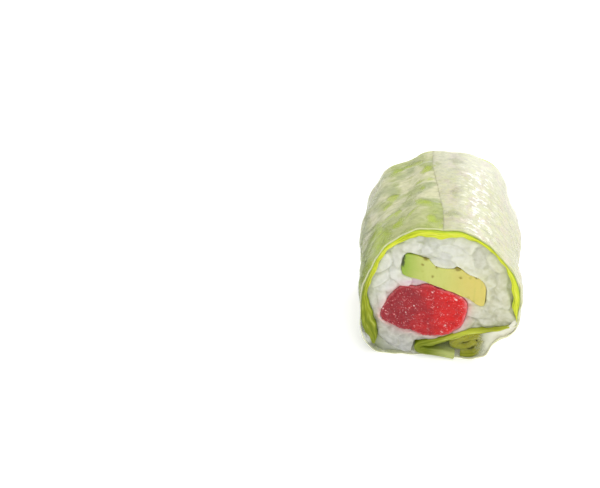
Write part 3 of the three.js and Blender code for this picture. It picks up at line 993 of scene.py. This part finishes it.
def grain_places(count, outline, fillings, seed):
    """Middles and turns for the grains of one cut, spread evenly by taking the emptiest of some draws.
    Those near an edge lie along it."""
    draw = np.random.default_rng(seed)
    chosen = []
    while len(chosen) < count:
        tries = draw.uniform((-20, 0), (20, 40), (60, 2))
        ok = inside(tries, outline)
        for line in fillings:
            ok &= ~inside(tries, line)
        tries = tries[ok]
        between = np.maximum(*(distance_to(tries, line)[0] for line in fillings)) < NEAR_EDGE
        tries = tries[(distance_to(tries, outline)[0] > 1.1) & ~between]
        if not len(tries):
            continue
        others = np.reshape([c[:2] for c in chosen], (-1, 2))
        room = np.linalg.norm(tries[:, None] - others, axis=-1).min(1, initial=np.inf)
        place = tries[room.argmax()]
        edges = [distance_to(place[None], line) for line in [outline, *fillings]]
        distance, way, _ = min(edges, key=lambda e: e[0][0])
        turn = draw.uniform(0, math.pi)
        if distance[0] < NEAR_EDGE:
            turn = way[0] + draw.normal(0, 0.35)
        chosen.append((*place, turn))
    return np.array(chosen)


def grains_of(side, outline, fillings):
    """Corners and faces of the grains of one cut, in two layers, and the places of the upper ones."""
    shape, shape_faces = grain_shape()
    draw = np.random.default_rng(70 + (side > 0))
    upper = grain_places(UPPER_GRAINS, outline, fillings, 80 + (side > 0))
    lower = grain_places(LOWER_GRAINS, outline, fillings, 82 + (side > 0))
    corners, faces = [], []
    for layer, sunk in ((upper, 1), (lower, 2.2)):
        for x, z, turn in layer:
            size = np.array([GRAIN_LENGTH, GRAIN_WIDTH, GRAIN_THICKNESS]) * draw.uniform(0.88, 1.12, 3)
            spin = (Matrix.Rotation(-turn, 3, "Y") @ Matrix.Rotation(draw.normal(0, 0.22), 3, "Z")
                    @ Matrix.Rotation(draw.uniform(0, math.pi), 3, "X"))
            place = (shape * size) @ np.array(spin).T
            place += (x, side * (CUT_Y - sunk - draw.uniform(-0.45, 0.45)), z)
            faces += [[k + len(corners) * len(shape) for k in f] for f in shape_faces]
            corners.append(place)
    return np.concatenate(corners), faces, upper


def nearest_grains(plan, grains):
    """The grain that lies nearest each point, and how much farther off the next one lies."""
    half = 0.5 * (GRAIN_LENGTH - GRAIN_WIDTH)
    ways = np.stack([np.cos(grains[:, 2]), np.sin(grains[:, 2])], -1)
    away = plan[:, None] - grains[None, :, :2]
    along = np.clip((away * ways).sum(-1), -half, half)
    distance = np.linalg.norm(away - along[..., None] * ways, axis=-1)
    first, second = np.partition(distance, 1, axis=1)[:, :2].T
    return distance.argmin(1), second - first


def press(places, side, grains, fillings):
    """Flatten the grains along the cut, and mark off each from its neighbours by a shallow groove. Also
    gives a shade for each corner: grains differ a little in tone, and grooves are darker, which is painted
    shade."""
    draw = np.random.default_rng(90 + (side > 0))
    lift = draw.uniform(-0.45, 0.25, len(grains))
    shades = draw.normal(0, 0.05, len(grains))
    plan = places[:, [0, 2]]
    nearest, margin = nearest_grains(plan, grains)
    inner = smooth(0, 1.3, margin)
    depth = side * places[:, 1]
    depth = depth - 0.72 * np.maximum(depth - (CUT_Y - 0.3), 0)
    near_cut = smooth(CUT_Y - 2.5, CUT_Y - 0.8, depth)
    beside_filling = smooth(1.4, 0.4, np.minimum(*(distance_to(plan, line)[0] for line in fillings)))
    behind_filling = np.logical_or(*(inside(plan, line) for line in fillings))
    uneven = inner * lift[nearest] - 0.3 * (1 - inner)
    depth += near_cut * (uneven * (1 - 0.8 * beside_filling) + 0.1 * beside_filling)
    depth = np.where(behind_filling, np.minimum(depth, CUT_Y - 1.2), depth)
    # painted shade: corners in the grooves between grains are darkened
    groove = near_cut * (1 - smooth(0, 0.7, margin))
    shade = (1 + near_cut * shades[nearest])[:, None] * (1 - groove[:, None] * GROOVE_SHADE)
    return at_y(plan, side * depth), shade


def slab(outline, holes, depths):
    """A thick plate of an outline with holes, its walls ringed with corners at each of the depths."""
    rings = [outline, *[h[::-1] for h in holes]]
    triangles = tessellate_polygon([[Vector((x, z, 0)) for x, z in ring] for ring in rings])
    plan = np.concatenate(rings)
    count = len(plan)
    corners = np.concatenate([at_y(plan, y) for y in depths])
    last = (len(depths) - 1) * count
    faces = []
    for a, b, c in triangles:
        (ax, az), (bx, bz), (cx, cz) = plan[a], plan[b], plan[c]
        if (bx - ax) * (cz - az) - (cx - ax) * (bz - az) < 0:
            b, c = c, b
        faces += [[a, b, c], [last + a, last + c, last + b]]
    for start in range(0, last, count):
        for ring in rings:
            size = len(ring)
            for k in range(size):
                a, b = start + k, start + (k + 1) % size
                faces.append([b, a, count + a, count + b])
            start += size
    return corners, faces


def voxel_remeshed(corners, faces):
    """The outer surface of overlapping closed shapes, as one even, smoothed mesh."""
    mesh = new_mesh("scratch", corners, faces)
    scratch = new_object("scratch", mesh)
    remesh = scratch.modifiers.new("remesh", "REMESH")
    remesh.mode = "VOXEL"
    remesh.voxel_size = VOXEL
    relax = scratch.modifiers.new("smooth", "SMOOTH")
    relax.factor = 0.5
    relax.iterations = 3
    graph = bpy.context.evaluated_depsgraph_get()
    made = bpy.data.meshes.new_from_object(scratch.evaluated_get(graph))
    places = read(made.vertices, "co")
    polygons = [list(p.vertices) for p in made.polygons]
    bpy.data.objects.remove(scratch)
    bpy.data.meshes.remove(mesh)
    bpy.data.meshes.remove(made)
    return places, polygons


def rice_tints(points, outline, fillings):
    """Colours of the rice: grey-white, yellower to the right, greener by the leaf and the avocado, pinker
    by the fish and in a stain over it, darker low down and more so to the right, which is painted shade,
    and darker at the very top."""
    x, z = points[:, 0], points[:, 2]
    plan = points[:, [0, 2]]
    by_leaf, by_tuna, by_avocado = (np.exp(-distance_to(plan, line)[0] / reach)
                                    for line, reach in zip([outline, *fillings], (1.6, 0.9, 1)))
    stained = np.exp(-(((plan - (-6.2, 23.9)) / (3, 0.9)) ** 2).sum(-1))
    layers = (
        (0.75 * smooth(-2, 16, x), "c4c3a0"),
        (0.45 * by_leaf * smooth(2, 9, z), "bcc182"),
        (0.4 * by_avocado, "cbcd90"),
        (0.8 * by_tuna, "d88f8c"),
        (stained, "c3a3ae"),
    )
    result = np.tile(colour("cbccc3")[:3], (len(points), 1))
    for share, tint in layers:
        result += share[:, None] * (np.array(colour(tint)[:3]) - result)
    # painted shade: darker low down, more so to the right
    low = (0.34 + 0.1 * smooth(0, 12, x)) * smooth(24, 4, z)
    return result * (1 - low - 0.07 * smooth(30, 35, z))[:, None]


def add_tints(piece, tints):
    """Give each corner of a piece the colour that the rice's material reads."""
    layer = piece.data.color_attributes.new("tint", "FLOAT_COLOR", "POINT")
    rgba = np.column_stack([tints, np.ones(len(tints))])
    layer.data.foreach_set("color", rgba.astype(np.float32).ravel())


def rice():
    outline = rice_outline()
    fillings, wider = ([filling_outline(points, 60, grown) for points in (TUNA, AVOCADO)]
                       for grown in (0.05, 0.3))
    material = rice_material()
    corners, faces = slab(outline, fillings, np.linspace(CORE_END - CUT_Y, CUT_Y - CORE_END, CORE_RINGS))
    core = add_piece("rice_core", settle(corners), faces, [material], ["rice"])
    add_tints(core, rice_tints(corners, outline, fillings))
    for side, name in ((-1, "rice_front"), (1, "rice_back")):
        ends = sorted((side * (CUT_Y - SLAB_START), side * (CUT_Y - SLAB_DEPTH)))
        corners, faces = slab(outline, fillings, ends)
        grain_corners, grain_faces, grains = grains_of(side, outline, wider)
        faces += [[k + len(corners) for k in f] for f in grain_faces]
        places, polygons = voxel_remeshed(np.concatenate([corners, grain_corners]), faces)
        places, shade = press(kept_inside(places, outline), side, grains, fillings)
        piece = add_piece(name, settle(places), polygons, [material])
        add_tints(piece, rice_tints(places, outline, fillings) * shade)


# ---- stage, light and camera

FRAME_WIDTH, FRAME_HEIGHT = 600, 488
AIM = Vector((0, 0, 20)) * MM  # a point in the roll ...
AIM_PIXEL = (441, 255)  # ... and the pixel where it lies
CAMERA_DISTANCE = 0.4
CAMERA_ELEVATION = math.radians(35.5)
PIXELS_PER_METRE_AWAY = 1532  # the lens: pixels for each unit of sideways over distance
FLOOR_REACH = 3
FLOOR_LEVEL = -0.05 * MM  # just below the roll, so that the two never share a plane


def camera():
    """The roll lies right of the picture's middle, so the camera looks past its left side."""
    data = bpy.data.cameras.new("camera")
    data.sensor_width = 36
    data.lens = PIXELS_PER_METRE_AWAY / FRAME_WIDTH * data.sensor_width
    data.clip_start = 0.01
    eye = new_object("camera", data)
    down = CAMERA_ELEVATION
    eye.location = AIM + CAMERA_DISTANCE * Vector((0, -math.cos(down), math.sin(down)))
    right = (AIM_PIXEL[0] - FRAME_WIDTH / 2) / PIXELS_PER_METRE_AWAY
    up = (FRAME_HEIGHT / 2 - AIM_PIXEL[1]) / PIXELS_PER_METRE_AWAY
    ray = math.sqrt(1 + right ** 2 + up ** 2)
    pitch = math.atan(up) + math.asin(math.sin(down) * ray / math.sqrt(1 + up ** 2))
    yaw = math.atan2(right, math.cos(pitch) + up * math.sin(pitch))
    eye.rotation_euler = (math.pi / 2 - pitch, 0, yaw)
    bpy.context.scene.camera = eye


def floor():
    n = Nodes("floor")
    n.set(Base_Color=(0.9, 0.9, 0.9, 1), Roughness=0.6)
    n.set(Emission_Color=(1, 1, 1, 1), Emission_Strength=0.35)
    quarters = ((-1, -1), (1, -1), (1, 1), (-1, 1))
    corners = [(x * FLOOR_REACH, y * FLOOR_REACH, FLOOR_LEVEL) for x, y in quarters]
    mesh = new_mesh("floor", corners, [(0, 1, 2, 3)])
    mesh.materials.append(n.material)
    plane = new_object("floor", mesh)


def softbox(name, place, size, watts):
    data = bpy.data.lights.new(name, "AREA")
    data.shape = "SQUARE"
    data.size = size
    data.energy = watts
    lamp = new_object(name, data)
    lamp.location = place
    lamp.rotation_euler = (AIM - Vector(place)).to_track_quat("-Z", "Y").to_euler()
    return lamp


def light():
    world = bpy.data.worlds.new("world")
    world.use_nodes = True
    background = world.node_tree.nodes["Background"]
    background.inputs["Color"].default_value = (1, 1, 1, 1)
    background.inputs["Strength"].default_value = 0.5
    bpy.context.scene.world = world
    softbox("key", (0.36, 0.62, 0.36), 0.2, 2.3)
    softbox("glints", (0.4, 0.66, 0.24), 0.16, 1.6).visible_diffuse = False
    softbox("top", (0.1, 0, 0.75), 0.5, 2.2)
    softbox("front", (0.1, -0.55, 0.55), 0.6, 2.6)


def main():
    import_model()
    bpy.context.scene.view_settings.view_transform = "Standard"
    camera()
    floor()
    light()
    paper()
    outer_leaf(lettuce_material("lettuce_outer", "b0c634", "ccd432", "a0ae18", "dde16c", 25))
    under_leaf(lettuce_material("lettuce_under", "b0b83c", "b4bc3c", "8c9120", "d2d676", 13))
    pocket_leaf(lettuce_material("lettuce_pocket", "8e8c12", "969412", "74750a", "a6a430", 9))
    tuna()
    avocado()
    rice()
    flaps()


main()
